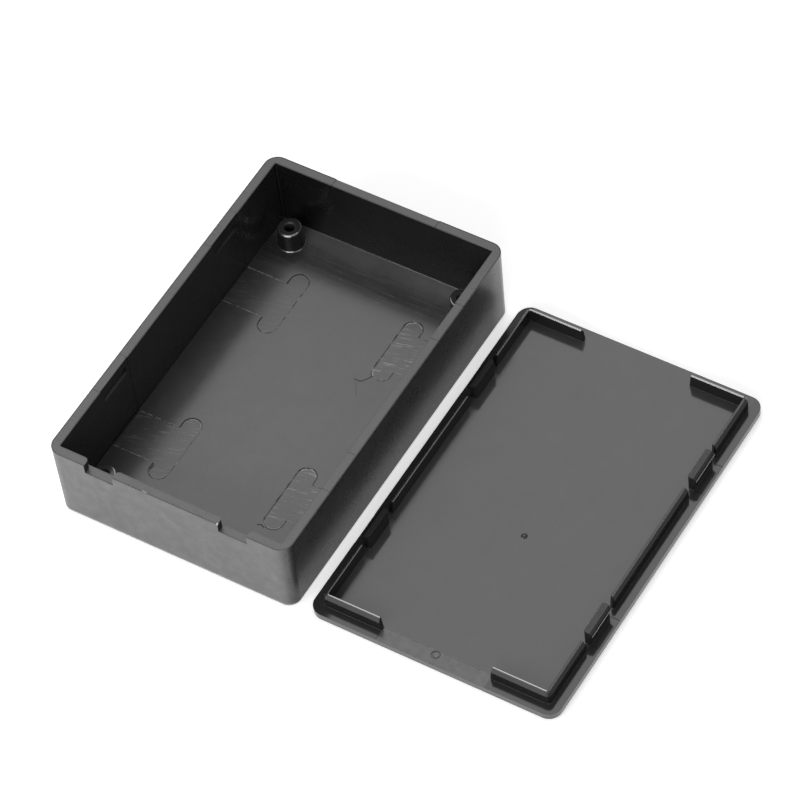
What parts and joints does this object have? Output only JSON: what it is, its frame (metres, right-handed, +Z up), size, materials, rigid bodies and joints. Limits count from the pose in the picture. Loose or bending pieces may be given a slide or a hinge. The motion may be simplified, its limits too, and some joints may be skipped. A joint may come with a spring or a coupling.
{
  "type": "project box",
  "caption": "Shallow moulded tray with screw bosses, snap recesses and rim notches, its ribbed snap-fit lid lying inside up beside it; houses a small circuit board.",
  "frame": {"origin": "middle of the tray's underside, on the table", "axes": "+X across the tray towards the lid, +Y along the tray away from the notched short wall, +Z up"},
  "size_m": [0.1332, 0.1006, 0.0225],
  "materials": {
    "black_plastic": "satin black moulded plastic"
  },
  "bodies": {
    "tray": {"tray": "black_plastic"},
    "lid": {"lid": "black_plastic"}
  },
  "joints": [
    {"name": "lid_lift", "type": "slide", "parent": "tray", "child": "lid", "axis": [0, 0, 1], "range_m": [0, 0.03]}
  ]
}
